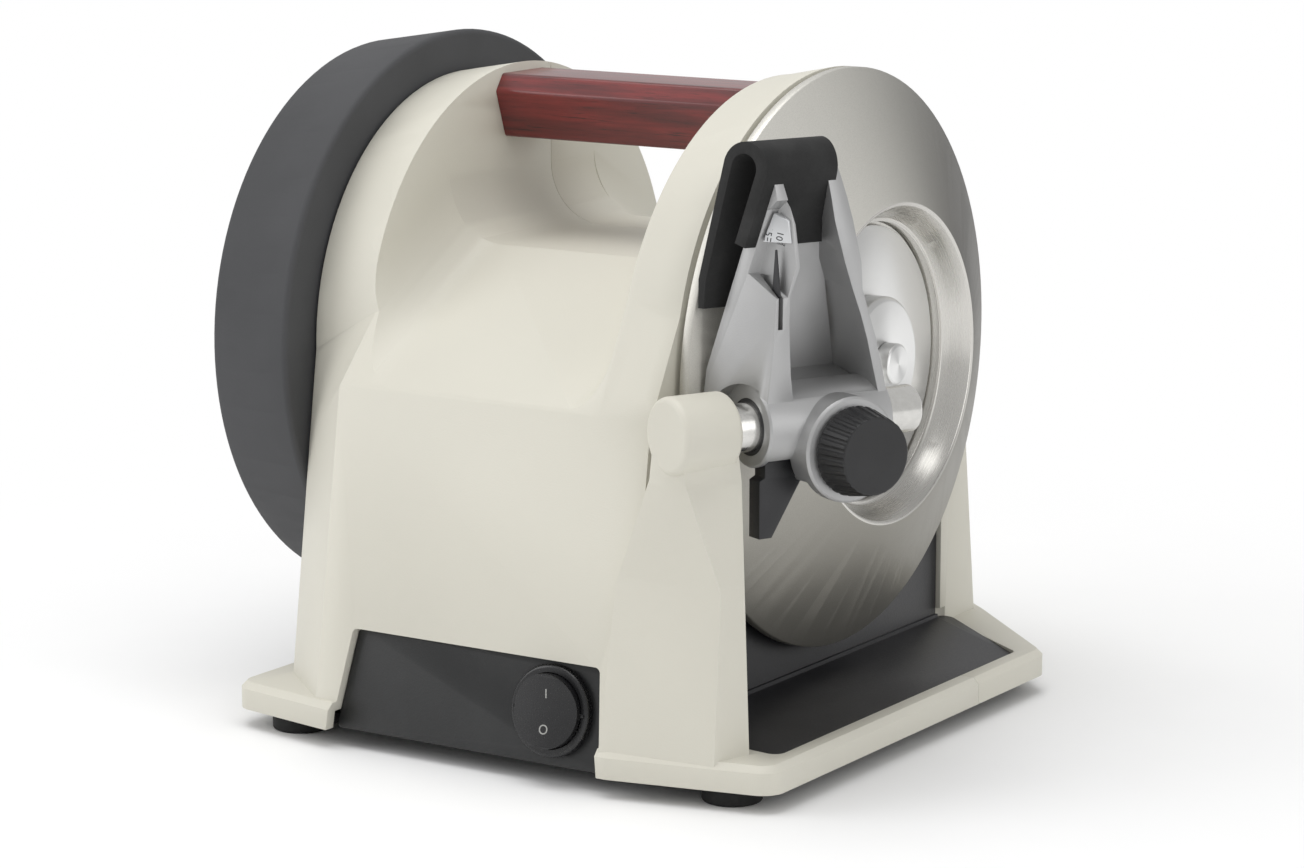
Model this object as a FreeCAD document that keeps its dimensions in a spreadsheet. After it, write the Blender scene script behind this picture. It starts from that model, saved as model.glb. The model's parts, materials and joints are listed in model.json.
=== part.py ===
# Electric knife sharpener: a motor housing that carries a conical diamond wheel on its right side,
# a honing wheel on its left side, and a knife guide on a bar in front of the diamond wheel.
# The origin is on the floor, under the wheel axis, midway between the two arches of the housing.
# X runs along the wheel axis towards the diamond wheel, Y to the back and Z up. Millimetres.
import FreeCAD, Part
import Sketcher
import math
import os
from FreeCAD import Base

doc = FreeCAD.newDocument("KnifeSharpener")
sheet = doc.addObject("Spreadsheet::Sheet", "Sizes")

SIZES = [
    # heights and faces of the whole
    ("axis_height", 95), ("base_bottom", 5), ("plinth_top", 12), ("wall", 3), ("running_gap", 0.05),
    ("seat_gap", 0.3), ("parting_y", 13), ("front_lean", 8.5), ("front_foot_y", 98.5),
    # left arch, from its outer face to the crease of the front
    ("left_face", -58.4), ("left_radius", 67), ("crease_x", -37), ("crease_radius", 70.7),
    ("arch_lift", 1), ("left_shoulder_y", 70.5), ("left_shoulder_z", 72), ("left_foot_y", 80),
    ("shoulder_y", 85.2), ("shoulder_z", 91), ("crease_foot_y", 97.8),
    # right arch
    ("edge_x", 42), ("edge_radius", 76), ("right_drop", 4), ("right_face", 57),
    ("right_radius", 75), ("right_shoulder_y", 73), ("right_foot_y", 81.5),
    # saddle between the arches
    ("channel_left", -39), ("channel_right", 41), ("ledge_y", 85), ("ledge_z", 92), ("ridge_y", 33),
    ("ridge_z", 122), ("left_cove", 16), ("right_cove", 8),
    # diamond wheel
    ("rim_x", 61), ("rim_radius", 75), ("rim_width", 2.5), ("lip_x", 76.6), ("lip_radius", 41.5),
    ("lip_width", 0.9), ("cup_radius", 37), ("cup_floor_x", 69.4), ("plate_radius", 36),
    ("plate_x", 66.2), ("plate_back_x", 60.5), ("shaft_radius", 6), ("thread_radius", 5),
    ("disc_width", 1.2), ("disc_radius", 35), ("cap_radius", 17), ("cap_face_x", 73.3),
    ("button_radius", 5.3), ("button_face_x", 77.3),
    # honing wheel
    ("hone_near_x", -59.3), ("hone_near_radius", 78.9), ("hone_far_x", -87), ("hone_far_radius", 74.8),
    ("hone_recess", 8), ("hone_recess_radius", 30), ("hone_pocket", 4), ("flange_radius", 20),
    ("washer_radius", 22), ("washer_width", 2), ("nut_radius", 13), ("nut_width", 9),
    ("shaft_left", -96), ("shaft_step_left", -79), ("shaft_step_right", 62),
    # transmission
    ("pulley_radius", 50), ("pulley_width", 8), ("pulley_x", -52), ("pinion_radius", 5),
    ("belt_width", 6), ("belt_thickness", 1.4), ("motor_y", 32), ("motor_z", 45), ("motor_radius", 28),
    ("motor_left", -30), ("motor_length", 64), ("can_wall", 1.5), ("stack_left", -16),
    ("stack_length", 36), ("rotor_radius", 16), ("air_gap", 0.4), ("motor_shaft_radius", 4),
    ("bearing_radius", 16), ("bearing_width", 10), ("frame_plate", 3), ("frame_left", -37),
    ("frame_right", 37), ("frame_half", 32), ("frame_floor", 9),
    # handle
    ("handle_top", 164), ("handle_bottom", 147), ("handle_half", 12.8), ("handle_half_low", 8.6),
    ("handle_bevel", 4.5), ("handle_crest", 3.2), ("handle_round", 1.4),
    # support bar, seen from the bar's own axis
    ("bar_radius", 6), ("bar_offset", 13), ("bar_z", 90.3), ("bar_start", -11), ("bar_end", 57),
    ("boss_radius", 9.5), ("boss_start", -14.4), ("boss_end", 2),
    # knife guide, seen from the bar's own axis
    ("liner_radius", 7), ("sleeve_radius", 8), ("barrel_radius", 10), ("barrel_start", 9),
    ("barrel_end", 45), ("guide_lean", 17.1), ("guide_top", 65), ("guide_toe", 11.3),
    ("web_thickness", 2.4), ("blade_slot", 7.4), ("band_leg", 3.2), ("knob_radius", 11.2),
    ("knob_front_radius", 9.5), ("knob_length", 9.4), ("knob_s", 29.8), ("knob_z", -5.5),
    ("knob_boss_radius", 13), ("knob_boss_front", 14), ("cheek_depth", 3.3), ("scale_thickness", 0.6),
    # switch, tray, feet
    ("switch_x", 34), ("switch_up", 14), ("switch_radius", 11.5), ("rocker_radius", 9.3),
    ("panel_sink", 3), ("panel_thickness", 2.5), ("foot_radius", 7.5), ("foot_inset_x", 50),
    ("tray_thickness", 1.6), ("inlet_x", 0), ("inlet_up", 20),
]
for row, (alias, number) in enumerate(SIZES, start=1):
    sheet.set(f"A{row}", alias)
    sheet.set(f"B{row}", str(number))
    sheet.setAlias(f"B{row}", alias)
doc.recompute()


class Size:
    """A number together with the sheet expression that gives it."""

    def __init__(self, number, text):
        self.number = number
        self.text = text

    @staticmethod
    def of(value):
        return value if isinstance(value, Size) else Size(value, repr(value))

    def __add__(self, other):
        other = Size.of(other)
        return Size(self.number + other.number, f"({self.text} + {other.text})")

    def __sub__(self, other):
        other = Size.of(other)
        return Size(self.number - other.number, f"({self.text} - {other.text})")

    def __mul__(self, other):
        other = Size.of(other)
        return Size(self.number * other.number, f"({self.text} * {other.text})")

    def __neg__(self):
        return Size(-self.number, f"(0 - {self.text})")

    def __float__(self):
        return float(self.number)


def S(alias):
    return Size(float(sheet.get(alias)), f"Sizes.{alias}")


def num(alias):
    return float(sheet.get(alias))


def bind(thing, path, value):
    """Sets a property from the sheet, or from a plain number."""
    value = Size.of(value)
    thing.setExpression(path, value.text)


AXIS_TURN = {
    "z": Base.Rotation(),
    "x": Base.Rotation(Base.Vector(0, 1, 0), 90),
    "y": Base.Rotation(Base.Vector(1, 0, 0), -90),
}
subparts = []


def finish(thing, label):
    """Names a finished sub-part and notes it for export."""
    thing.Label = label
    subparts.append(thing)
    return thing


def put(thing, at, turn=None):
    if turn is not None:
        thing.Placement.Rotation = turn
    for name, value in zip("xyz", at):
        bind(thing, f"Placement.Base.{name}", value)
    return thing


def box(size, at, turn=None):
    thing = doc.addObject("Part::Box", "Block")
    for path, value in zip(("Length", "Width", "Height"), size):
        bind(thing, path, value)
    return put(thing, at, turn)


def rod(radius, length, at, axis="x", turn=None):
    thing = doc.addObject("Part::Cylinder", "Rod")
    bind(thing, "Radius", radius)
    bind(thing, "Height", length)
    return put(thing, at, turn if turn is not None else AXIS_TURN[axis])


def hexagon(radius, length, at, axis="x"):
    thing = doc.addObject("Part::Prism", "Hexagon")
    thing.Polygon = 6
    bind(thing, "Circumradius", radius)
    bind(thing, "Height", length)
    return put(thing, at, AXIS_TURN[axis])


def cut(base, tool):
    thing = doc.addObject("Part::Cut", "Cut")
    thing.Base = base
    thing.Tool = tool
    return thing


def fuse(*pieces):
    thing = doc.addObject("Part::MultiFuse", "Fuse")
    thing.Shapes = list(pieces)
    return thing


def group(pieces):
    """Identical loose solids that share one node."""
    thing = doc.addObject("Part::Compound", "Group")
    thing.Links = list(pieces)
    return thing


def sketch_of(body, role, points):
    """A closed outline whose corners are bound to the sheet."""
    plane = next(f for f in body.Origin.OriginFeatures if f.Role == role)
    sketch = body.newObject("Sketcher::SketchObject", "Outline")
    sketch.AttachmentSupport = [(plane, "")]
    sketch.MapMode = "FlatFace"
    points = [(Size.of(a), Size.of(b)) for a, b in points]
    count = len(points)
    for index, (a, b) in enumerate(points):
        c, d = points[(index + 1) % count]
        sketch.addGeometry(Part.LineSegment(Base.Vector(a.number, b.number, 0),
                                            Base.Vector(c.number, d.number, 0)), False)
    join = Sketcher.Constraint
    for index in range(count):
        sketch.addConstraint(join("Coincident", index, 2, (index + 1) % count, 1))
    for index, (a, b) in enumerate(points):
        for kind, value in (("DistanceX", a), ("DistanceY", b)):
            row = sketch.addConstraint(join(kind, -1, 1, index, 1, value.number))
            sketch.setExpression(f"Constraints[{row}]", value.text)
    return sketch


def lathe(profile, at=(0, 0, "axis_height")):
    """A turned piece about the X direction: profile points are (x, radius)."""
    body = doc.addObject("PartDesign::Body", "Turned")
    sketch = sketch_of(body, "XY_Plane", profile)
    turned = body.newObject("PartDesign::Revolution", "Revolution")
    turned.Profile = sketch
    turned.ReferenceAxis = (sketch, ["H_Axis"])
    turned.Angle = 360
    at = [S(value) if isinstance(value, str) else value for value in at]
    return put(body, at)


def plate(outline, thickness, at, turn=None):
    """A flat piece padded from an outline in its own XY plane."""
    body = doc.addObject("PartDesign::Body", "Plate")
    sketch = sketch_of(body, "XY_Plane", outline)
    pad = body.newObject("PartDesign::Pad", "Pad")
    pad.Profile = sketch
    bind(pad, "Length", thickness)
    return put(body, at, turn)


def computed(shape, label=None):
    thing = doc.addObject("Part::Feature", "Formed")
    thing.Shape = shape
    return finish(thing, label) if label else thing


def V(x, y, z):
    return Base.Vector(float(x), float(y), float(z))


def rounded_wire(points, radius):
    """A closed flat outline with every corner rounded by the same radius."""
    edges = []
    count = len(points)
    starts = []
    for index, corner in enumerate(points):
        before = points[index - 1] - corner
        after = points[(index + 1) % count] - corner
        half = before.getAngle(after) / 2
        reach = radius / math.tan(half)
        first = corner + before.normalize() * reach
        last = corner + after.normalize() * reach
        inward = (before + after).normalize()
        middle = corner + inward * (radius / math.sin(half) - radius)
        starts.append((first, middle, last))
    for index, (first, middle, last) in enumerate(starts):
        edges.append(Part.Arc(first, middle, last).toShape())
        edges.append(Part.makeLine(last, starts[(index + 1) % count][0]))
    return Part.Wire(edges)


def prism(points, radius, direction):
    return Part.Face(rounded_wire(points, radius)).extrude(direction)


# The housing: four sections along X give the outside, and the saddle is cut down between the arches.
def section(x, radius, centre, start_z, front, rear, inset):
    """One closed outline in the plane x: front and rear are (shoulder y, shoulder z, foot y)."""
    radius -= inset
    reach = math.sqrt(radius ** 2 - (start_z - centre) ** 2)
    floor = num("base_bottom")
    front_foot = V(x, inset - front[2], floor)
    front_shoulder = V(x, inset - front[0], front[1])
    front_arch = V(x, -reach, start_z)
    crown = V(x, 0, centre + radius)
    rear_arch = V(x, reach, start_z)
    rear_shoulder = V(x, rear[0] - inset, rear[1])
    rear_foot = V(x, rear[2] - inset, floor)
    return Part.Wire([
        Part.makeLine(front_foot, front_shoulder), Part.makeLine(front_shoulder, front_arch),
        Part.Arc(front_arch, crown, rear_arch).toShape(), Part.makeLine(rear_arch, rear_shoulder),
        Part.makeLine(rear_shoulder, rear_foot), Part.makeLine(rear_foot, front_foot)])


def casing(inset):
    """The whole body without its saddle, drawn in by inset on every side."""
    axis = num("axis_height")
    left = (num("left_shoulder_y"), num("left_shoulder_z"), num("left_foot_y"))
    middle = (num("shoulder_y"), num("shoulder_z"), num("crease_foot_y"))
    right_rear = (num("right_shoulder_y"), num("left_shoulder_z"), num("right_foot_y"))
    lift = axis + num("arch_lift")
    drop = axis - num("right_drop")
    wires = [
        section(num("left_face") + inset, num("left_radius"), lift, lift, left, left, inset),
        section(num("crease_x"), num("crease_radius"), lift, lift + 12, middle, middle, inset),
        section(num("edge_x"), num("edge_radius"), drop, drop + 27, middle, middle, inset),
        section(num("right_face") - inset, num("right_radius"), axis, axis + 20, middle,
                right_rear, inset)]
    return Part.makeLoft(wires, True, True)


def channel(grow):
    """The space between the arches: a coved trough that climbs from each ledge to the flat top."""
    low = num("channel_left") - grow
    high = num("channel_right") + grow
    reach = 60
    left_cove = num("left_cove") + grow
    right_cove = num("right_cove") + grow

    def trough(origin, up, along, length):
        corner = lambda x, rise: Base.Vector(x, 0, 0) + origin + up * rise
        half = math.sqrt(0.5)
        edges = [
            Part.makeLine(corner(low, reach), corner(low, left_cove)),
            Part.Arc(corner(low, left_cove), corner(low + left_cove * (1 - half),
                     left_cove * (1 - half)), corner(low + left_cove, 0)).toShape(),
            Part.makeLine(corner(low + left_cove, 0), corner(high - right_cove, 0)),
            Part.Arc(corner(high - right_cove, 0), corner(high - right_cove * (1 - half),
                     right_cove * (1 - half)), corner(high, right_cove)).toShape(),
            Part.makeLine(corner(high, right_cove), corner(high, reach)),
            Part.makeLine(corner(high, reach), corner(low, reach))]
        return Part.Face(Part.Wire(edges)).extrude(along * length)

    flat_z = num("ridge_z") - grow
    ridge = num("ridge_y")
    slope = V(0, num("ledge_y") - ridge, num("ridge_z") - num("ledge_z"))
    slope.normalize()
    tools = [trough(V(0, -ridge - 1, flat_z), V(0, 0, 1), V(0, 1, 0), 2 * ridge + 2)]
    for side in (-1, 1):
        along = V(0, side * slope.y, -slope.z)
        up = V(0, side * slope.z, slope.y)
        start = V(0, side * ridge, num("ridge_z")) - up * grow - along * 24
        tools.append(trough(start, up, along, 130))
    return tools[0].multiFuse(tools[1:]).removeSplitter()


def plinth(inset, bottom, top):
    """The spread foot of the housing, in plan."""
    front = num("front_foot_y") + 1.5
    outline = [V(-66, -94, bottom), V(-31, -front, bottom), V(53, -front + 1, bottom),
               V(95, -90, bottom), V(95, 50, bottom), V(60, 83, bottom), V(40, front, bottom),
               V(-31, front, bottom), V(-66, 94, bottom)]
    wire = rounded_wire(outline, 6)
    if inset:
        wire = wire.makeOffset2D(-inset)
    return Part.Face(wire).extrude(V(0, 0, top - bottom))


def post(inset, top):
    """The pillar that carries the support bar: four plan outlines, one above the other."""
    stages = [
        (8, ((50, -98.5), (80, -93), (83.5, -82.1), (55, -80.1))),
        (53, ((53, -94.5), (79.8, -89.5), (81.4, -81.4), (56.5, -80.9))),
        (79, ((61, -92), (71.5, -92.5), (80.3, -81.2), (66.3, -77.7))),
        (90, ((61.4, -90.7), (72.3, -95.7), (79, -81.4), (68.1, -76.3)))]
    wires = []
    for level, corners in stages:
        if level > top:
            continue
        middle_x = sum(x for x, _ in corners) / 4
        middle_y = sum(y for _, y in corners) / 4
        shrink = 1 - inset / 10
        points = [V(middle_x + (x - middle_x) * shrink, middle_y + (y - middle_y) * shrink, level)
                  for x, y in corners]
        wires.append(Part.makePolygon(points + points[:1]))
    return Part.makeLoft(wires, True, True)


BAR_TURN = Base.Rotation(Base.Vector(0, 0, 1), math.degrees(math.atan2(
    num("rim_radius") - num("lip_radius"), num("lip_x") - num("rim_x"))))
ALONG = BAR_TURN.multVec(V(1, 0, 0))
OUTWARD = BAR_TURN.multVec(V(0, -1, 0))
BAR_FOOT = V(num("rim_x"), -num("rim_radius"), num("bar_z")) + OUTWARD * num("bar_offset")
AT_BAR = Base.Placement(BAR_FOOT, BAR_TURN)


def front_frame(x, up, sink=0.0, side=-1):
    """A placement on the leaning front (side -1) or rear (side 1): local Z climbs the face."""
    lean = num("front_lean")
    turn = Base.Rotation(Base.Vector(1, 0, 0), side * lean)
    foot = V(x, side * num("front_foot_y"), num("base_bottom"))
    return Base.Placement(foot + turn.multVec(V(0, -side * sink, up)), turn)


def placed(shape, placement):
    shape = shape.copy()
    shape.Placement = placement.multiply(shape.Placement)
    return shape


def cylinder(radius, length, start, direction):
    return Part.makeCylinder(radius, length, start, direction)


def make_housing():
    wall = num("wall")
    axis = num("axis_height")
    X = V(1, 0, 0)
    outside = casing(0).cut(channel(0))
    boss = placed(cylinder(num("boss_radius"), num("boss_end") - num("boss_start"),
                           V(num("boss_start"), 0, 0), X), AT_BAR)
    boss_edge = [e for e in boss.Edges if isinstance(e.Curve, Part.Circle)]
    boss = boss.makeFillet(1.6, boss_edge)
    foot = plinth(0, num("base_bottom"), num("plinth_top"))
    rim = [e for e in foot.Edges if abs(e.BoundBox.ZMin - num("plinth_top")) < 0.01
           and e.BoundBox.ZLength < 0.01]
    foot = foot.makeChamfer(1.6, rim)
    outside = outside.multiFuse([foot, post(0, 90), boss])
    inside = casing(wall).cut(channel(wall))
    hollow_post = post(wall, 79).common(Part.makeBox(200, 200, 66, V(-100, -150, 0)))
    inside = inside.multiFuse([plinth(wall, 0, num("plinth_top") - 2.4), hollow_post])
    shell = outside.cut(inside)

    openings = [
        cylinder(num("flange_radius") + 2, 12, V(num("left_face") - 4, 0, axis), X),
        cylinder(num("bearing_radius") + 2, 12, V(num("right_face") - 8, 0, axis), X),
        placed(cylinder(num("bar_radius") + 0.02, 60, V(num("bar_start"), 0, 0), X), AT_BAR),
        placed(cylinder(2.5, 30, V(-4, 0, -30), V(0, 0, 1)), AT_BAR)]
    # the recess of the switch panel in the front, the mouth of the tray and the inlet at the back
    mouth = [V(-33, 0, -6), V(-27, 0, 26.5), V(48, 0, 26.5), V(50.5, 0, -6)]
    openings.append(placed(prism(mouth, 1.5, V(0, 12, 0)).translated(V(0, -6, 0)), front_frame(0, 0)))
    openings.append(placed(Part.makeBox(27.4, 12, 19.4, V(-13.7, -6, 0)),
                           front_frame(num("inlet_x"), num("inlet_up"), 0, 1)))
    openings.append(prism(tray_plan(4, 0.2), 3, V(0, 0, 12)))
    openings.append(Part.makeBox(12, 129, 50 - 4, V(num("right_face") - 7, -68, 4)))
    for side in (-1, 1):
        for x in (num("channel_left") - 6, num("channel_right") - 4):
            openings.append(cylinder(2.6, 10, V(x, 6 * side, handle_bolt_z()), X))
    shell = shell.cut(openings[0].multiFuse(openings[1:]))

    # four pads inside take the screws that join the two shells and the feet
    parting = num("parting_y")
    far = 200
    front_half = shell.common(Part.makeBox(2 * far, far + parting - 0.1, far, V(-far, -far, 0)))
    rear_half = shell.common(Part.makeBox(2 * far, far, far, V(-far, parting + 0.1, 0)))
    computed(front_half, "housing_front")
    computed(rear_half, "housing_rear")


def handle_bolt_z():
    return (num("handle_top") + num("handle_bottom")) / 2


def tray_plan(level, grow):
    """The plan of the tray at the foot of the diamond wheel."""
    inner = num("right_face") - 1.5
    return [V(inner - grow, -68 - grow, level), V(66, -76 - grow, level),
            V(89.5 + grow, -79 - grow, level), V(89.5 + grow, 43 + grow, level),
            V(inner + 1, 66 + grow, level), V(inner - grow, 61 + grow, level)]


def make_tray():
    """One moulding: a floor that slopes away from the wheel and a wall behind the wheel."""
    thick = num("tray_thickness")
    inner = num("right_face") - 1.5
    plan = prism(tray_plan(4, 0), 3, V(0, 0, 14))
    profile = [V(inner - 2, -100, 13.6), V(96, -100, 10.6), V(96, -100, 10.6 - thick),
               V(inner - 2, -100, 13.6 - thick)]
    slab = Part.Face(Part.makePolygon(profile + profile[:1])).extrude(V(0, 200, 0))
    floor = slab.common(plan)
    wall = Part.makeBox(thick, 128.4, 36.5, V(inner - thick + 0.2, -67.7, 13))
    lip = Part.makeBox(2.4, 128.4, 2, V(inner - thick + 0.2, -67.7, 12.4))
    computed(floor.multiFuse([wall, lip]).removeSplitter(), "side_tray")


def make_base_cover():
    gap = num("seat_gap")
    bottom = num("base_bottom")
    cover = plinth(num("wall") + gap, bottom, bottom + 2.4)
    holes = [cylinder(1.7, 6, foot_point(index, 3), V(0, 0, 1)) for index in range(4)]
    vents = [Part.makeBox(40, 3, 6, V(-30, y, 3)) for y in range(-30, 31, 10)]
    mouth = Part.makeBox(86, 28, 10, V(-34, -104, 2))
    cover = cover.cut(holes[0].multiFuse(holes[1:] + vents + [mouth]))
    computed(cover, "base_cover")


def foot_point(index, level):
    places = [(num("left_face") + 8, -86), (78.5, -82), (78.5, 44), (num("left_face") + 8, 86)]
    x, y = places[index]
    return V(x, y, level)


def make_feet():
    feet = []
    screws = []
    for index in range(4):
        foot = cylinder(num("foot_radius"), 5, foot_point(index, 0), V(0, 0, 1))
        foot = foot.makeFillet(0.8, [e for e in foot.Edges if e.BoundBox.ZMax < 0.01])
        well = cylinder(3.4, 2.6, foot_point(index, -0.1), V(0, 0, 1))
        hole = cylinder(1.7, 8, foot_point(index, -1), V(0, 0, 1))
        feet.append(foot.cut([well, hole]))
        head = cylinder(3, 1.6, foot_point(index, 0.9), V(0, 0, 1))
        screws.append(head.fuse(cylinder(1.5, 7.5, foot_point(index, 1.5), V(0, 0, 1))))
    computed(Part.makeCompound(feet), "rubber_feet")
    computed(Part.makeCompound(screws), "foot_screws")


make_housing()
make_tray()
make_base_cover()
make_feet()

# The wooden handle between the arches, with its two bolts through each arch wall.
handle_left = S("channel_left") + 0.05
handle_length = S("channel_right") - S("channel_left") - 0.1
half = S("handle_half")
low_half = S("handle_half_low")
top = S("handle_top")
bottom = S("handle_bottom")
bevel = S("handle_bevel")
crest = S("handle_crest")
handle = plate([(-top, -half + crest), (-top, half - crest), (-top + bevel, half), (-bottom, low_half),
                (-bottom, -low_half), (-top + bevel, -half)], handle_length, (handle_left, 0, 0),
               AXIS_TURN["x"])
doc.recompute()
blank = handle.Tip
rounding = handle.newObject("PartDesign::Fillet", "Rounding")
long_edges = [f"Edge{i}" for i, e in enumerate(blank.Shape.Edges, start=1)
              if abs(e.Length - handle_length.number) < 0.01]
rounding.Base = (blank, long_edges)
bind(rounding, "Radius", S("handle_round"))
handle.Tip = rounding
bolt_z = (top + bottom) * 0.5
bolt_holes = fuse(*[rod(2.6, 20, (S("channel_left") + shift, 6 * side, bolt_z))
                    for side in (-1, 1) for shift in (-1, 61)])
finish(cut(handle, bolt_holes), "carry_handle")
bolts = []
head_width = 3
for side in (-1, 1):
    y = side * 6
    left_seat = S("channel_left") - S("wall")
    right_seat = S("channel_right") + S("wall")
    bolts.append(fuse(rod(2.5, 17, (left_seat - 0.1, y, bolt_z)),
                      rod(4.4, head_width, (left_seat - head_width, y, bolt_z))))
    bolts.append(fuse(rod(2.5, 17, (right_seat - 16.9, y, bolt_z)),
                      rod(4.4, head_width, (right_seat, y, bolt_z))))
finish(group(bolts), "handle_bolts")

# The set of parts that turns with the main shaft.
axis_at = (0, 0, S("axis_height"))
shaft = S("shaft_radius")
thread = S("thread_radius")
finish(lathe([(S("shaft_left"), 0), (S("shaft_left"), thread - 0.8), (S("shaft_left") + 0.8, thread),
              (S("shaft_step_left"), thread), (S("shaft_step_left"), shaft),
              (S("shaft_step_right"), shaft), (S("shaft_step_right"), thread),
              (S("cap_face_x") - 1.2, thread), (S("cap_face_x") - 1.2, 0)]), "main_shaft")
rim_x = S("rim_x")
finish(lathe([(rim_x - S("rim_width"), S("rim_radius")), (rim_x, S("rim_radius")),
              (S("lip_x"), S("lip_radius")), (S("lip_x") - 0.2, S("lip_radius") - S("lip_width")),
              (S("cup_floor_x"), S("cup_radius")), (S("cup_floor_x"), S("plate_radius")),
              (S("plate_x"), S("plate_radius")), (S("plate_x"), shaft), (S("plate_back_x"), shaft),
              (S("plate_back_x"), 38), (66, 43), (69.5, 47), (rim_x - S("rim_width"), 70.5)]),
       "diamond_wheel")
plate_x = S("plate_x")
finish(lathe([(plate_x, shaft + 0.4), (plate_x, S("disc_radius")),
              (plate_x + S("disc_width"), S("disc_radius")), (plate_x + S("disc_width"), shaft + 0.4)]),
       "hub_disc")
cap_x = S("cap_face_x")
nut_start = plate_x + S("disc_width")
finish(lathe([(nut_start, thread + 0.1), (nut_start, S("cap_radius")), (cap_x - 1, S("cap_radius")),
              (cap_x, S("cap_radius") - 1), (cap_x, thread + 0.1)]), "hub_nut")
finish(lathe([(cap_x - 1.2, 0), (cap_x - 1.2, thread), (cap_x, thread),
              (cap_x, S("button_radius")), (S("button_face_x") - 0.5, S("button_radius")),
              (S("button_face_x"), S("button_radius") - 0.6), (S("button_face_x"), 0)]), "hub_button")
near_x = S("hone_near_x")
far_x = S("hone_far_x")
recess = S("hone_recess")
pocket = S("hone_pocket")
finish(lathe([(far_x, S("hone_recess_radius")), (far_x, S("hone_far_radius") - 1),
              (far_x + 1, S("hone_far_radius")), (near_x - 1, S("hone_near_radius")),
              (near_x, S("hone_near_radius") - 1), (near_x, S("flange_radius") + 1),
              (near_x - pocket, S("flange_radius") + 1), (near_x - pocket, shaft),
              (far_x + recess, shaft), (far_x + recess, S("hone_recess_radius"))]), "honing_wheel")
finish(lathe([(near_x - pocket, shaft), (near_x - pocket, S("flange_radius")),
              (near_x - 0.6, S("flange_radius")), (near_x - 0.6, 10), (S("frame_left") - 6.5, 10),
              (S("frame_left") - 6.5, shaft)]), "honing_flange")
washer_x = far_x + recess - S("washer_width")
finish(lathe([(washer_x, thread + 0.2), (washer_x, S("washer_radius") - 0.6),
              (washer_x + 0.6, S("washer_radius")), (far_x + recess, S("washer_radius")),
              (far_x + recess, thread + 0.2)]), "honing_washer")
nut = hexagon(S("nut_radius"), S("nut_width"), (washer_x - S("nut_width"), 0, S("axis_height")))
nut_bore = rod(thread + 0.05, 20, (washer_x - 14, 0, S("axis_height")))
finish(cut(nut, nut_bore), "honing_nut")
spacer_x = S("frame_right") + 10
finish(lathe([(spacer_x, shaft), (spacer_x, 10), (S("plate_back_x"), 10), (S("plate_back_x"), shaft)]),
       "wheel_spacer")

# The reduction: a toothless belt from the motor's pinion to the large pulley in the left arch.
pulley_x = S("pulley_x")
width = S("pulley_width")
rim_r = S("pulley_radius")
web = width * 0.5 - 1.5
finish(lathe([(pulley_x, 10.1), (pulley_x, 15), (pulley_x + web, 15), (pulley_x + web, rim_r - 5),
              (pulley_x, rim_r - 5), (pulley_x, rim_r + 1.5), (pulley_x + 0.9, rim_r + 1.5),
              (pulley_x + 0.9, rim_r), (pulley_x + width - 0.9, rim_r),
              (pulley_x + width - 0.9, rim_r + 1.5), (pulley_x + width, rim_r + 1.5),
              (pulley_x + width, rim_r - 5), (pulley_x + width - web, rim_r - 5),
              (pulley_x + width - web, 15), (pulley_x + width, 15), (pulley_x + width, 10.1)]),
       "driven_pulley")
motor_at = (0, S("motor_y"), S("motor_z"))
pin = S("pinion_radius")
spin = S("motor_shaft_radius")
finish(lathe([(pulley_x - 0.5, spin), (pulley_x - 0.5, pin + 2), (pulley_x + 0.9, pin + 2),
              (pulley_x + 0.9, pin), (pulley_x + width - 0.9, pin),
              (pulley_x + width - 0.9, pin + 2), (pulley_x + width + 1, pin + 2),
              (pulley_x + width + 1, spin)], motor_at), "motor_pinion")


def belt_loop(inner, outer):
    """A flat belt round both pulleys: straight runs along the common tangents."""
    def loop(extra):
        big = V(0, 0, num("axis_height"))
        small = V(0, num("motor_y"), num("motor_z"))
        big_r = num("pulley_radius") + extra
        small_r = num("pinion_radius") + extra
        line = small - big
        spread = math.acos((big_r - small_r) / line.Length)
        heading = math.atan2(line.z, line.y)
        corners = []
        for angle in (heading + spread, heading - spread):
            ray = V(0, math.cos(angle), math.sin(angle))
            corners.append((big + ray * big_r, small + ray * small_r))
        back = V(0, -math.cos(heading), -math.sin(heading))
        edges = [Part.makeLine(corners[0][0], corners[0][1]),
                 Part.Arc(corners[0][1], small - back * small_r, corners[1][1]).toShape(),
                 Part.makeLine(corners[1][1], corners[1][0]),
                 Part.Arc(corners[1][0], big + back * big_r, corners[0][0]).toShape()]
        return Part.Face(Part.Wire(edges)).extrude(V(num("belt_width"), 0, 0))
    return loop(outer).cut(loop(inner))


belt = belt_loop(0.06, 0.06 + num("belt_thickness"))
belt.translate(V(num("pulley_x") + (num("pulley_width") - num("belt_width")) / 2, 0, 0))
computed(belt, "drive_belt")

# The motor: can, end caps, stack, windings, rotor, shaft and fan.
left = S("motor_left")
can_r = S("motor_radius")
can_end = left + S("motor_length")
inner_r = can_r - S("can_wall")
finish(lathe([(left + 3, inner_r), (left + 3, can_r), (can_end - 3, can_r), (can_end - 3, inner_r)],
             motor_at), "motor_can")
finish(lathe([(left, 8.1), (left, can_r), (left + 3, can_r), (left + 3, inner_r - 0.1), (left + 7, inner_r - 0.1),
              (left + 7, inner_r - 3), (left + 3, inner_r - 3), (left + 3, 11), (left + 7, 11),
              (left + 7, 8.1)], motor_at), "motor_end_cap_drive")
finish(lathe([(can_end, 8.1), (can_end, can_r), (can_end - 3, can_r), (can_end - 3, inner_r - 0.1),
              (can_end - 7, inner_r - 0.1), (can_end - 7, inner_r - 3), (can_end - 3, inner_r - 3),
              (can_end - 3, 11), (can_end - 7, 11), (can_end - 7, 8.1)], motor_at), "motor_end_cap_fan")
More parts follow.
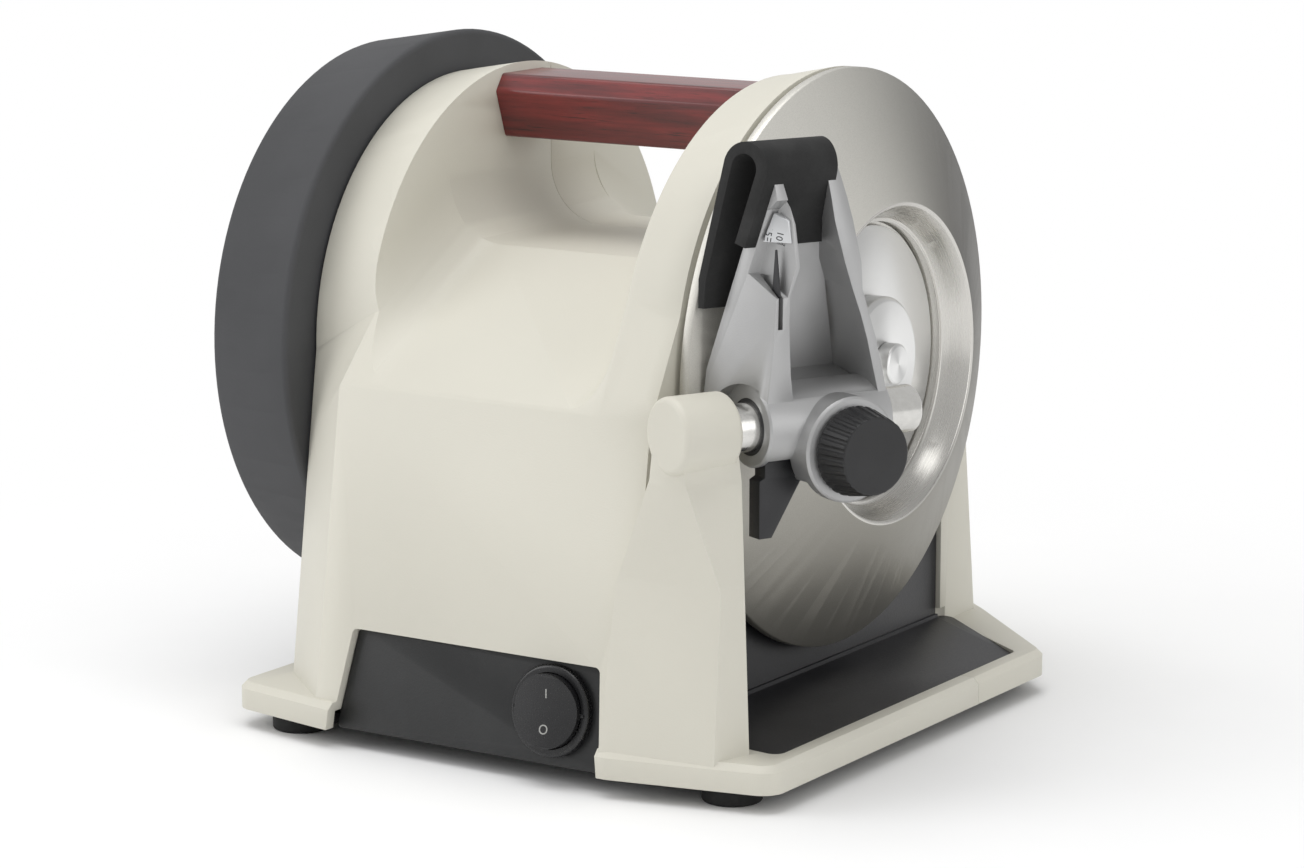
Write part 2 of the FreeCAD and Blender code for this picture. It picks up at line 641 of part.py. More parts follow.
finish(group([lathe([(x, spin + 0.05), (x, 8.1), (x + 6, 8.1), (x + 6, spin + 0.05)], motor_at)
              for x in (left + 0.5, can_end - 6.5)]), "motor_bearings")
stack_x = S("stack_left")
stack_end = stack_x + S("stack_length")
bore = S("rotor_radius") + S("air_gap")
finish(lathe([(stack_x, bore), (stack_x, inner_r), (stack_end, inner_r), (stack_end, bore)], motor_at),
       "motor_stator")
finish(group([lathe([(x, bore + 1.5), (x, inner_r - 2), (x + 6, inner_r - 2), (x + 6, bore + 1.5)],
                    motor_at) for x in (stack_x - 6, stack_end)]), "motor_windings")
finish(lathe([(stack_x, spin), (stack_x, S("rotor_radius")), (stack_end, S("rotor_radius")),
              (stack_end, spin)], motor_at), "motor_rotor")
finish(lathe([(pulley_x - 1.5, 0), (pulley_x - 1.5, spin), (can_end + 12, spin), (can_end + 12, 0)],
             motor_at), "motor_shaft")
fan_x = can_end + 3
fan_hub = rod(8, 8, (fan_x, S("motor_y"), S("motor_z")))
blade_count = 7
blades = [box((8, 1.2, 14), (fan_x, S("motor_y"), S("motor_z")),
              Base.Rotation(Base.Vector(1, 0, 0), 360 * i / blade_count)) for i in range(blade_count)]
lifted = []
for index, blade in enumerate(blades):
    angle = math.radians(360 * index / blade_count)
    bind(blade, "Placement.Base.y", S("motor_y") - 7 * math.sin(angle))
    bind(blade, "Placement.Base.z", S("motor_z") + 7 * math.cos(angle))
    lifted.append(blade)
fan_bore = rod(spin, 12, (fan_x - 2, S("motor_y"), S("motor_z")))
finish(cut(fuse(fan_hub, *lifted), fan_bore), "cooling_fan")


# The frame inside carries both bearings and the motor, and stands on the base cover.
def upright(x):
    sheet_t = S("frame_plate")
    plate_body = plate([(-S("axis_height") - 20, -18), (-S("axis_height") - 20, 18),
                        (-S("axis_height"), 24), (-S("frame_floor"), 66), (-S("frame_floor"), -40),
                        (-S("axis_height"), -24)], sheet_t, (x, 0, 0), AXIS_TURN["x"])
    return plate_body


left_up = upright(S("frame_left"))
right_up = upright(S("frame_right") - S("frame_plate"))
floor_plate = box((S("frame_right") - S("frame_left"), 106, S("frame_plate")),
                  (S("frame_left"), -40, S("frame_floor")))
cups = [rod(S("bearing_radius") + 3, S("bearing_width"), (S("frame_left"), 0, S("axis_height"))),
        rod(S("bearing_radius") + 3, S("bearing_width"),
            (S("frame_right") - S("bearing_width"), 0, S("axis_height")))]
frame_solid = fuse(left_up, right_up, floor_plate, *cups)
seats = [rod(S("bearing_radius"), 30, (S("frame_left") - 5, 0, S("axis_height"))),
         rod(S("bearing_radius"), 30, (S("frame_right") - 25, 0, S("axis_height"))),
         rod(12, 12, (S("frame_left") - 5, S("motor_y"), S("motor_z"))),
         rod(8, 12, (S("frame_right") - 8, S("motor_y"), S("motor_z")))]
seats += [rod(1.9, 8, (S("frame_left") - 4, S("motor_y") + 20 * side, S("motor_z"))) for side in (-1, 1)]
finish(cut(frame_solid, fuse(*seats)), "inner_frame")
for label, x in (("shaft_bearing_left", S("frame_left")),
                 ("shaft_bearing_right", S("frame_right") - S("bearing_width"))):
    finish(lathe([(x, shaft + S("running_gap")), (x, S("bearing_radius")),
                  (x + S("bearing_width"), S("bearing_radius")),
                  (x + S("bearing_width"), shaft + S("running_gap"))]), label)
motor_screws = []
for side in (-1, 1):
    y = S("motor_y") + 20 * side
    stem = rod(1.9, 7, (S("frame_left") - 0.1, y, S("motor_z")))
    head = rod(3.6, 2.4, (S("frame_left") - 2.5, y, S("motor_z")))
    motor_screws.append(fuse(stem, head))
finish(group(motor_screws), "motor_screws")


# The switch panel, sunk in the mouth at the foot of the front, with its round rocker switch.
def front_part(shape, label):
    return computed(placed(shape, front_frame(0, 0)), label)


def make_switch():
    sink = num("panel_sink")
    thick = num("panel_thickness")
    gap = 0.15
    outline = [V(-31.8 + gap, 0, 0.4), V(-27 + gap, 0, 26.5 - gap), V(48 - gap, 0, 26.5 - gap),
               V(49.7 - gap, 0, 0.4)]
    panel = prism(outline, 1.3, V(0, thick, 0)).translated(V(0, sink, 0))
    middle = V(num("switch_x"), 0, num("switch_up"))
    hole_r = num("switch_radius") - 1.5
    inward = V(0, 1, 0)
    panel = panel.cut(cylinder(hole_r + 0.1, 20, middle + V(0, -5, 0), inward))
    front_part(panel, "switch_panel")
    bezel = cylinder(num("switch_radius"), 2.2, middle + V(0, sink - 2.2, 0), inward)
    bezel = bezel.makeFillet(0.9, [e for e in bezel.Edges if abs(e.BoundBox.YMax - sink + 2.2) < 0.01])
    body = cylinder(hole_r, 14, middle + V(0, sink, 0), inward)
    room = cylinder(num("rocker_radius") + 0.25, 9.5, middle + V(0, sink - 3, 0), inward)
    tabs = [Part.makeBox(0.8, 8, 4.8).translated(middle + V(shift, sink + 14, -2.4))
            for shift in (-5, 4.2)]
    pivots = [cylinder(0.9, 1.2, middle + V(side * (num("rocker_radius") + 0.6) - 0.6, 1.6, 0),
                       V(1, 0, 0)) for side in (-1, 1)]
    holder = bezel.multiFuse([body] + tabs).cut(room)
    holder = holder.cut(pivots[0].fuse(pivots[1]))
    front_part(holder, "switch_body")
    radius = num("rocker_radius")
    rocker = cylinder(radius, 5, middle + V(0, -2.4, 0), inward)
    dish = cylinder(34, 40, middle + V(-20, -2.4 - 34 + 1.7, 0), V(1, 0, 0))
    rocker = rocker.cut(dish)
    pegs = [cylinder(0.8, 1.3, middle + V(side * radius - (0.4 if side > 0 else 0.9), 1.6, 0),
                     V(1, 0, 0)) for side in (-1, 1)]
    front_part(rocker.multiFuse(pegs).removeSplitter(), "switch_rocker")


make_switch()


def make_inlet():
    """A three-pin mains inlet in the back, with its retaining flange."""
    place = front_frame(num("inlet_x"), num("inlet_up"), 0, 1)
    flange = Part.makeBox(34, 2, 26, V(-17, 0.05, -3.3))
    flange = flange.makeFillet(2, [e for e in flange.Edges if e.BoundBox.YLength > 1.9])
    body = Part.makeBox(27, 17, 19, V(-13.5, -16.9, 0.2))
    body = body.fuse(flange)
    socket = Part.makeBox(24.4, 15, 16.4, V(-12.2, -12.5, 1.5))
    socket = socket.makeChamfer(3.4, [e for e in socket.Edges if e.BoundBox.YLength > 14
                                      and e.BoundBox.ZMin > 17])
    plug = Part.makeBox(21.5, 12.5, 13.2, V(-10.75, -12.7, 3.1))
    computed(placed(body.cut(socket), place), "power_inlet")
    pins = [Part.makeBox(2, 15, 4, V(x - 1, -19.8, z)) for x, z in ((-7, 6), (7, 6), (0, 10.5))]
    slots = [placed(pin, place) for pin in pins]
    inlet = subparts[-1]
    inlet.Shape = inlet.Shape.cut(slots)
    computed(Part.makeCompound(slots), "inlet_pins")


make_inlet()

# The control board on the floor of the frame, beside the motor.
board_z = S("frame_floor") + S("frame_plate") + 3
board = box((44, 30, 1.6), (-24, -36, board_z))
stands = [rod(2.5, 3, (x, y, S("frame_floor") + S("frame_plate")), "z") for x in (-20, 16)
          for y in (-32, -10)]
finish(fuse(board, *stands), "control_board")
finish(rod(8, 24, (-16, -26, board_z + 1.6 + 8.1)), "run_capacitor")

# The support bar in its boss, with the screw that holds it from below.
BAR = num("bar_radius")
X = V(1, 0, 0)
bar = cylinder(BAR, num("bar_end") - num("bar_start"), V(num("bar_start"), 0, 0), X)
bar = bar.makeChamfer(0.8, [e for e in bar.Edges if isinstance(e.Curve, Part.Circle)])
computed(placed(bar, AT_BAR), "support_bar")
grub = cylinder(2.45, 8, V(-4, 0, -BAR - 8.05), V(0, 0, 1))
computed(placed(grub, AT_BAR), "bar_screw")


# The guide in the frame of the bar: x along the bar, y towards the wheel, z up.
def bar_tube(outer, inner, start, end):
    tube = cylinder(outer, end - start, V(start, 0, 0), X)
    return tube.cut(cylinder(inner, end - start + 2, V(start - 1, 0, 0), X))


def at_bar(shape, label):
    return computed(placed(shape, AT_BAR), label)


START = num("barrel_start")
END = num("barrel_end")
GAP = num("running_gap")
LINER = num("liner_radius")
SLEEVE = num("sleeve_radius")
BARREL = num("barrel_radius")
LEAN = math.radians(num("guide_lean"))
TOE = num("guide_toe")
KNOB_S = num("knob_s")
KNOB_Z = num("knob_z")


def rest_y(level):
    """Where the plane that the blade rests on lies, at a height above the bar."""
    return num("bar_offset") - 1.2 - (max(level, TOE) - TOE) * math.tan(LEAN)


def cheek_x(out, level, depth=0.0):
    """The outer face of the left cheek, which flares towards the wheel. Out is away from it."""
    return 9.5 + 0.3 * (out - 7) + 0.05 * (level - 6) + depth


def side_prism(outline, start, end):
    """A prism along the bar from an outline of (out, height)."""
    points = [V(start, -out, level) for out, level in outline]
    return Part.Face(Part.makePolygon(points + points[:1])).extrude(V(end - start, 0, 0))


def cheek_slab(outline, shallow, deep):
    """A prism between two depths below the left cheek's face."""
    near = [V(cheek_x(out, level, shallow), -out, level) for out, level in outline]
    far = [V(cheek_x(out, level, deep), -out, level) for out, level in outline]
    return Part.makeLoft([Part.makePolygon(ring + ring[:1]) for ring in (near, far)], True, True)


at_bar(bar_tube(LINER, BAR + GAP, START, END), "bar_liner")


def make_sleeve():
    """The part that keeps the working angle: sleeve, tail that stops at the post, and needle."""
    sleeve = bar_tube(SLEEVE, LINER + GAP, START + 1.6, END - 0.4)
    neck = SLEEVE - 0.6
    tail_side = [V(START + 2, 0, -neck), V(START + 11.2, 0, -neck),
                 V(START + 11.2, 0, -12.6), V(START + 12.6, 0, -13.2), V(START + 4, 0, -27),
                 V(START + 0.4, 0, -27), V(START + 0.4, 0, -12.8), V(START + 2, 0, -12)]
    tail = Part.Face(Part.makePolygon(tail_side + tail_side[:1])).extrude(V(0, 4.5, 0))
    tail = tail.translated(V(0, -4.5, 0))
    needle_side = [(-0.6, neck), (2.3, neck), (6, 31), (8.4, 32.6), (6.8, 43.6), (6.4, 43.6),
                   (5.2, 33.4), (4.4, 31)]
    needle = side_prism(needle_side, START + 3.2, START + 3.7)
    at_bar(sleeve.multiFuse([tail, needle]), "angle_sleeve")


make_sleeve()


# The two cheeks, level by level: height, how far out the front edge is, the left cheek's inner
# face, and the right cheek's two faces along the bar.
CHEEKS = ((3, 7.2, 17.4, 42.2, 45), (7, 7.5, 17, 41.8, 44.2), (13, 8, 15.9, 39.9, 42.5),
          (20, 8.4, 15.3, 37.9, 40.5), (26, 8.4, 15.1, 36, 38.4), (32.5, 8.6, 15.2, 33.4, 36.2),
          (39.5, 10.4, 16.8, 29.8, 34.5), (49.6, 9, 16.3, 27.7, 32.9), (55, 7.6, 15.2, 27.6, 32.1),
          (60, 6.2, 14.3, 27.4, 31.2), (65, 4.6, 14.2, 27.1, 30))


# The slot that the needle's stem swings in, as (out, height).
STEM_WAY = [(-2.2, 5), (3.9, 5), (9.8, 30.6), (12.8, 32), (12.8, 37), (0.4, 37), (0.2, 31)]


def make_guide():
    """The silver frame: barrel, web behind, and two cheeks that open to the front."""
    barrel = cylinder(BARREL, END - START, V(START, 0, 0), X)
    barrel = barrel.makeChamfer(0.5, [e for e in barrel.Edges if isinstance(e.Curve, Part.Circle)])
    left = []
    right = []
    for level, out, left_in, right_in, right_out in CHEEKS:
        back = rest_y(level)
        left.append([V(cheek_x(-back, level), back, level), V(cheek_x(out, level), -out, level),
                     V(left_in, -out, level), V(left_in, back, level)])
        right.append([V(right_in, back, level), V(right_in, -out, level),
                      V(right_out, -out, level), V(right_out, back, level)])
    cheeks = [Part.makeLoft([Part.makePolygon(ring + ring[:1]) for ring in side], True, True)
              for side in (left, right)]
    low, high = 3, 45.5
    web = num("web_thickness")
    web_side = [(-rest_y(low), low), (-rest_y(TOE), TOE), (-rest_y(high), high),
                (-rest_y(high) + web, high), (-rest_y(TOE) + web, TOE), (7.2, 7), (7.2, low)]
    back = side_prism(web_side, 13, 43)
    trim = [V(13, -20, low), V(43, -20, low), V(28.8, -20, high), V(15.5, -20, high)]
    trim = Part.Face(Part.makePolygon(trim + trim[:1])).extrude(V(0, 40, 0))
    boss = cylinder(num("knob_boss_radius"), num("knob_boss_front") - 6, V(KNOB_S, -6, KNOB_Z), V(0, -1, 0))
    boss = boss.makeChamfer(0.6, [e for e in boss.Edges if isinstance(e.Curve, Part.Circle)
                                  and e.BoundBox.YMax < -10])
    boss = boss.cut(Part.makeBox(60, 20, 40, V(0, -10.5, KNOB_Z - 40 - 7.4)))
    frame = barrel.multiFuse([*cheeks, back.common(trim), boss])
    bore = cylinder(SLEEVE + GAP, 60, V(START + 1.4, 0, 0), X)
    lip_bore = cylinder(LINER + GAP, 10, V(START - 2, 0, 0), X)
    end_room = cylinder(BARREL + 0.6, 16, V(START - 16, 0, 0), X)
    notch = [(4.7, 53), (7.4, 55.4), (14, 55.4), (14, 32), (8.7, 32), (-0.2, 37.4)]
    tail_way = Part.makeBox(10.2, 8.4, 8, V(START + 1.6, -6.4, -BARREL - 2))
    stud_hole = cylinder(2.55, 20, V(KNOB_S, 0, KNOB_Z), V(0, -1, 0))
    frame = frame.cut([bore, lip_bore, end_room, cheek_slab(notch, -3, num("cheek_depth")),
                       side_prism(STEM_WAY, START + 2.9, START + 4.2), tail_way, stud_hole])
    at_bar(frame, "guide_frame")
    return frame


guide = make_guide()


def make_scale():
    """The light plate behind the needle that carries the degree marks."""
    outline = [(5.2, 52.2), (8.2, 50.6), (9.1, 45.2), (3.1, 45.2)]
    depth = num("cheek_depth")
    near = [V(cheek_x(out, level, 0.5 + 0.38 * (out - 3.1)), -out, level) for out, level in outline]
    far = [V(cheek_x(out, level, depth), -out, level) for out, level in outline]
    at_bar(Part.makeLoft([Part.makePolygon(ring + ring[:1]) for ring in (near, far)], True, True),
           "angle_scale")


make_scale()


def make_band():
    """The rubber band over the top of the guide: an upside-down U that grips the blade's back."""
    leg = num("band_leg")
    slot = num("blade_slot")
    level = 62.5
    crown = (-rest_y(level) - slot / 2, level)
    across = (math.cos(LEAN), -math.sin(LEAN))
    up = (math.sin(LEAN), math.cos(LEAN))

    def spot(side, rise):
        return V(0, -(crown[0] + across[0] * side + up[0] * rise), crown[1] + across[1] * side + up[1] * rise)

    inner = slot / 2
    outer = inner + leg
    rear = inner + 2.4
    low = -17.5
    toe_out = V(0, 11.4, 28)
    toe_in = V(0, 9.7, 28)
    knee_out = V(0, 11.7, 35)
    knee_in = V(0, 9.5, 35)
    edges = [Part.makeLine(toe_out, knee_out), Part.makeLine(knee_out, spot(-rear, 0)),
             Part.Arc(spot(-rear, 0), spot(0, rear + 0.6), spot(outer, 0)).toShape(),
             Part.makeLine(spot(outer, 0), spot(outer, low)), Part.makeLine(spot(outer, low), spot(inner, low)),
             Part.makeLine(spot(inner, low), spot(inner, 0)),
             Part.Arc(spot(inner, 0), spot(0, inner), spot(-inner, 0)).toShape(),
             Part.makeLine(spot(-inner, 0), knee_in), Part.makeLine(knee_in, toe_in),
             Part.makeLine(toe_in, toe_out)]
    band = Part.Face(Part.Wire(edges)).extrude(V(29.6, 0, 0))
    reach = [(-40, 10), (20, 10), (20, 75), (-40, 75)]
    band = band.cut([cheek_slab(reach, -30, -3.1), guide])
    at_bar(band, "jaw_band")


make_band()

# The clamping knob with its stud: it locks the frame on the angle sleeve.
back_radius = num("knob_radius")
front_radius = num("knob_front_radius")
knob_length = num("knob_length")
knob_body = Part.makeCone(back_radius, front_radius, knob_length, V(0, 0, 0), V(0, -1, 0))
knob_body = knob_body.makeFillet(0.8, [e for e in knob_body.Edges if isinstance(e.Curve, Part.Circle)])
grooves = []
for index in range(28):
    angle = 2 * math.pi * index / 28
    across = V(math.cos(angle), 0, math.sin(angle))
    groove = cylinder(0.75, knob_length, across * (back_radius + 0.3), V(0, -1, 0) * knob_length
                      - across * (back_radius - front_radius))
    grooves.append(groove)
knob_body = knob_body.cut(grooves)
knob_body = knob_body.cut(cylinder(2.5, 6, V(0, 1, 0), V(0, -1, 0)))
knob_face = num("knob_boss_front") + 0.6
at_bar(knob_body.translated(V(KNOB_S, -knob_face, KNOB_Z)), "clamp_knob")
stud_start = math.sqrt(SLEEVE ** 2 - (KNOB_Z + 2.5) ** 2) + 0.1
stud = cylinder(2.5, knob_face + 4.9 - stud_start, V(KNOB_S, -stud_start, KNOB_Z), V(0, -1, 0))
at_bar(stud, "knob_stud")

doc.recompute()
for thing in doc.Objects:
    if "Invalid" in thing.State or "Error" in thing.State:
        raise RuntimeError(f"{thing.Label} failed: {thing.State}")
os.makedirs("parts", exist_ok=True)
for thing in subparts:
    shape = thing.Shape
    if shape.isNull() or not shape.isValid():
        raise RuntimeError(f"{thing.Label} has no valid shape")
    print(thing.Label, len(shape.Solids), round(shape.Volume), [round(v, 1) for v in (
        shape.BoundBox.XMin, shape.BoundBox.XMax, shape.BoundBox.YMin, shape.BoundBox.YMax,
        shape.BoundBox.ZMin, shape.BoundBox.ZMax)])
    shape.exportStep(f"parts/{thing.Label}.step")
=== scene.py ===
import json
import math

import bmesh
import bpy
from mathutils import Matrix, Vector
from mathutils.bvhtree import BVHTree


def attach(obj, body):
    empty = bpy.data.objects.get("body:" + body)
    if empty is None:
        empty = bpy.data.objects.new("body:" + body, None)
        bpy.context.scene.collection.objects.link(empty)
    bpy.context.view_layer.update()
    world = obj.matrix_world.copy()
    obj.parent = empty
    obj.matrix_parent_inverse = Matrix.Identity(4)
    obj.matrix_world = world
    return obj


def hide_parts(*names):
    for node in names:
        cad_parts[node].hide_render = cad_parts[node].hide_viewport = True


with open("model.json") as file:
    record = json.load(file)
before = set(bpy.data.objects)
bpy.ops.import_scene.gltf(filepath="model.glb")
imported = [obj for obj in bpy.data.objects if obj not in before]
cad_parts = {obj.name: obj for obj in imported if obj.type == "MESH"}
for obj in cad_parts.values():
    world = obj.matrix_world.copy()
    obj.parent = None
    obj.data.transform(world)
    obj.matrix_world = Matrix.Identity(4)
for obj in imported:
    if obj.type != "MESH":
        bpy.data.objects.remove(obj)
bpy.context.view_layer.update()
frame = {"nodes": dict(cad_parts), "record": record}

bl_info = {
    "name": "Electric knife sharpener",
    "version": (1, 0, 0),
    "blender": (4, 5, 0),
    "location": "View3D > Sidebar > Sharpener",
    "description": "Finishes the pieces of a two-wheel electric knife sharpener and sets its studio",
    "category": "Object",
}

MM = 0.001

# Height of the wheels' axis above the worktop.
AXIS_HEIGHT = 0.095

# Which body moves each node, and what each node is made of.
BODY_OF = {node: body for body, nodes in frame["record"]["behaviour"]["bodies"].items()
           for node in nodes}


# Shader maths as expressions on sockets.
class Val:
    """A number socket in a material, with arithmetic."""

    def __init__(self, tree, socket):
        self.tree = tree
        self.socket = socket

    def _math(self, operation, *values):
        return self.tree.node("ShaderNodeMath", {"operation": operation},
                              {index: value for index, value in enumerate(values)})

    def __add__(self, other):
        return self._math("ADD", self, other)

    def __radd__(self, other):
        return self._math("ADD", other, self)

    def __sub__(self, other):
        return self._math("SUBTRACT", self, other)

    def __mul__(self, other):
        return self._math("MULTIPLY", self, other)

    def __pow__(self, other):
        return self._math("POWER", self, other)

    def clamp(self):
        return self.tree.node("ShaderNodeClamp", {}, {"Value": self}, "Result")

    def cos(self):
        return self._math("COSINE", self)

    def smooth(self, low, high):
        """0 below low, 1 above high, eased between."""
        return self.tree.node("ShaderNodeMapRange", {"interpolation_type": "SMOOTHSTEP"},
                              {"Value": self, "From Min": low, "From Max": high}, "Result")


class Finish:
    """One material, built from named settings and sockets."""

    def __init__(self, name):
        self.material = bpy.data.materials.new(name)
        self.material.use_nodes = True
        self.nodes = self.material.node_tree.nodes
        self.links = self.material.node_tree.links
        self.nodes.clear()
        self.output = self.nodes.new("ShaderNodeOutputMaterial")
        self.shader = self.nodes.new("ShaderNodeBsdfPrincipled")
        self.links.new(self.shader.outputs["BSDF"], self.output.inputs["Surface"])
        self.place = self.nodes.new("ShaderNodeTexCoord").outputs["Object"]

    def node(self, kind, settings, inputs, output=0):
        node = self.nodes.new(kind)
        for key, value in settings.items():
            if key == "stops":
                ramp = node.color_ramp
                while len(ramp.elements) < len(value):
                    ramp.elements.new(0.5)
                for element, (at, colour) in zip(ramp.elements, value):
                    element.position = at
                    element.color = (*colour, 1.0)
            else:
                setattr(node, key, value)
        for key, value in inputs.items():
            self.feed(node.inputs[key], value)
        return Val(self, node.outputs[output])

    def feed(self, socket, value):
        if isinstance(value, Val):
            self.links.new(value.socket, socket)
        elif isinstance(value, bpy.types.NodeSocket):
            self.links.new(value, socket)
        elif socket.type == "RGBA" and len(value) == 3:
            socket.default_value = (*value, 1.0)
        else:
            socket.default_value = value

    def set(self, **values):
        for key, value in values.items():
            self.feed(self.shader.inputs[key.replace("_", " ")], value)
        return self

    def scaled(self, x, y, z):
        """Object coordinates stretched by a factor on each axis."""
        return self.node("ShaderNodeMapping", {"vector_type": "POINT"},
                         {"Vector": self.place, "Scale": (x, y, z)})

    def noise(self, scale, detail=3.0, rough=0.5, vector=None):
        return self.node("ShaderNodeTexNoise", {},
                         {"Vector": vector or self.place, "Scale": scale, "Detail": detail,
                          "Roughness": rough}, "Fac")

    def mix(self, factor, first, second):
        node = self.nodes.new("ShaderNodeMix")
        node.data_type = "RGBA"
        self.feed(node.inputs["Factor"], factor)
        self.feed(node.inputs[6], first)
        self.feed(node.inputs[7], second)
        return Val(self, node.outputs[2])

    def axes(self):
        parts = self.nodes.new("ShaderNodeSeparateXYZ")
        self.links.new(self.place, parts.inputs[0])
        return [Val(self, parts.outputs[index]) for index in range(3)]

    def bump(self, height, distance, strength=1.0):
        """Feeds the surface normal from a height, in metres of relief."""
        node = self.nodes.new("ShaderNodeBump")
        node.inputs["Strength"].default_value = strength
        node.inputs["Distance"].default_value = distance
        self.feed(node.inputs["Height"], height)
        self.links.new(node.outputs["Normal"], self.shader.inputs["Normal"])
        return self


def powder_coat(name, colour):
    """Satin powder paint: fine orange peel and a slight unevenness of tone."""
    f = Finish(name)
    tone = f.noise(14.0, 2.0)
    grain = f.noise(2600.0, 2.0, 0.6)
    shade = f.mix(tone.smooth(0.35, 0.65), [c * 0.965 for c in colour], colour)
    f.set(Base_Color=shade, Roughness=0.40 + grain * 0.10, IOR=1.48)
    return f.bump(grain, 0.00006, 0.55).material


def moulded_plastic(name, colour, rough, grain_scale=1900.0, relief=0.00005):
    """Dark moulded plastic with an eroded texture."""
    f = Finish(name)
    grain = f.noise(grain_scale, 3.0, 0.65)
    wear = f.noise(60.0, 4.0)
    f.set(Base_Color=f.mix(wear.smooth(0.4, 0.75), colour, [c * 1.25 + 0.002 for c in colour]),
          Roughness=rough + (grain - 0.5) * 0.16)
    return f.bump(grain, relief, 0.7).material


def rubber(name, colour):
    """Matt black rubber with a little dust."""
    f = Finish(name)
    grain = f.noise(1300.0, 4.0, 0.7)
    dust = f.noise(90.0, 5.0)
    f.set(Base_Color=f.mix(dust.smooth(0.45, 0.8), colour, [c * 1.6 + 0.004 for c in colour]),
          Roughness=0.62 + grain * 0.2, Specular_IOR_Level=0.35)
    return f.bump(grain, 0.00006, 0.6).material


def lacquered_wood(name):
    """Red-stained hardwood with long pores, under clear lacquer."""
    f = Finish(name)
    along = f.scaled(1.0, 14.0, 14.0)
    bands = f.noise(26.0, 4.0, 0.6, along)
    pores = f.noise(240.0, 5.0, 0.7, f.scaled(0.35, 9.0, 9.0))
    fine = f.noise(900.0, 3.0, 0.6, f.scaled(0.12, 4.0, 4.0))
    base = f.node("ShaderNodeValToRGB", {"stops": [
        (0.25, (0.050, 0.0035, 0.004)), (0.47, (0.125, 0.009, 0.009)),
        (0.60, (0.185, 0.014, 0.013)), (0.78, (0.085, 0.005, 0.006))]}, {"Fac": bands})
    dark = f.mix(pores.smooth(0.55, 0.70), base, (0.020, 0.0015, 0.0018))
    f.set(Base_Color=dark, Roughness=0.34 + fine * 0.12, Coat_Weight=0.55, Coat_Roughness=0.16)
    return f.bump(pores * 0.6 + fine * 0.4, 0.00006, 0.5).material


def diamond_face(name):
    """Nickel with fine diamond grain, on a cone round the X axis: its colour turns with the angle,
    with a painted highlight towards the top and painted shade towards the side.
    """
    f = Finish(name)
    x, y, z = f.axes()
    angle = f.node("ShaderNodeMath", {"operation": "ARCTAN2"}, {0: y, 1: z - AXIS_HEIGHT})
    grain = f.noise(5200.0, 2.0, 0.7)
    rings = f.noise(1.0, 4.0, 0.6, f.node("ShaderNodeCombineXYZ", {}, {0: x * 2600.0, 1: angle * 1.2}))
    # Painted highlight: the colour is lighter towards the top of the cone. Painted shade: it is darker
    # towards the side, both set by the angle round the axis.
    painted_highlight = ((angle + 0.25).cos() * 0.5 + 0.5).clamp() ** 1.6
    side = ((angle - 1.1).cos() * 0.5 + 0.5).clamp() ** 4.0
    tone = f.mix(painted_highlight, (0.33, 0.318, 0.285), (0.80, 0.785, 0.73))
    tone = f.mix(side * 0.95, tone, (0.085, 0.080, 0.072))
    tone = f.mix(grain.smooth(0.35, 0.75) * 0.22, tone, (0.20, 0.19, 0.17))
    f.set(Base_Color=tone, Metallic=0.82, Roughness=0.40 + rings * 0.06 + grain * 0.08)
    return f.bump(grain, 0.00005, 0.5).material


def turned_metal(name, colour, rough):
    """Bright turned metal with fine concentric lines round the wheel axis, and a painted reflection:
    the colour is darker in two opposite wedges by the angle round the axis.
    """
    f = Finish(name)
    x, y, z = f.axes()
    height = z - AXIS_HEIGHT
    angle = f.node("ShaderNodeMath", {"operation": "ARCTAN2"}, {0: y, 1: height})
    reach = (y ** 2.0 + height ** 2.0) ** 0.5
    pitch = 2400.0
    lines = f.noise(1.0, 3.0, 0.5, f.node("ShaderNodeCombineXYZ", {},
                                          {0: x * pitch, 1: angle * 0.6, 2: reach * pitch}))
    # Painted reflection: the colour is darkened in two opposite wedges by the angle round the wheel
    # axis.
    painted_reflection = ((angle * 2.0 + 0.9).cos() * 0.5 + 0.5) ** 2.0
    tone = f.mix(painted_reflection * 0.55, colour, [c * 0.42 for c in colour])
    f.set(Base_Color=tone, Metallic=0.95, Roughness=rough + lines * 0.14)
    return f.bump(lines, 0.00002, 0.5).material


def cast_alloy(name, colour, rough=0.38):
    """Bead-blasted die-cast alloy."""
    f = Finish(name)
    beads = f.noise(3600.0, 2.0, 0.5)
    cloud = f.noise(40.0, 3.0)
    f.set(Base_Color=f.mix(cloud.smooth(0.35, 0.7), colour, [c * 0.9 for c in colour]),
          Metallic=0.75, Roughness=rough + beads * 0.12)
    return f.bump(beads, 0.00005, 0.6).material


def plain_metal(name, colour, rough):
    """Bright plated or ground metal with faint streaks."""
    f = Finish(name)
    streak = f.noise(220.0, 4.0, 0.6, f.scaled(0.3, 3.0, 3.0))
    f.set(Base_Color=f.mix(streak, colour, [c * 0.8 for c in colour]), Metallic=0.95,
          Roughness=rough + streak * 0.15)
    return f.bump(streak, 0.00002, 0.4).material


def honing_compound(name):
    """Charcoal honing composite: matt, with fine grain and faint turning marks."""
    f = Finish(name)
    x, _, _ = f.axes()
    grain = f.noise(3200.0, 4.0, 0.75)
    turned = f.noise(1.0, 3.0, 0.6, f.node("ShaderNodeCombineXYZ", {}, {0: x * 1500.0}))
    cloud = f.noise(22.0, 4.0)
    base = f.mix(cloud.smooth(0.3, 0.7), (0.052, 0.053, 0.056), (0.066, 0.067, 0.071))
    f.set(Base_Color=f.mix(grain.smooth(0.5, 0.8) * 0.35, base, (0.11, 0.11, 0.115)),
          Roughness=0.66 + grain * 0.14, Specular_IOR_Level=0.4)
    return f.bump(grain * 0.8 + turned * 0.2, 0.00008, 0.6).material


def bare(name, colour, rough):
    """A plain printed or enamelled surface that stays inside the housing."""
    f = Finish(name)
    speck = f.noise(700.0, 4.0)
    f.set(Base_Color=f.mix(speck, colour, [c * 0.75 for c in colour]), Roughness=rough)
    return f.bump(speck, 0.00003, 0.4).material


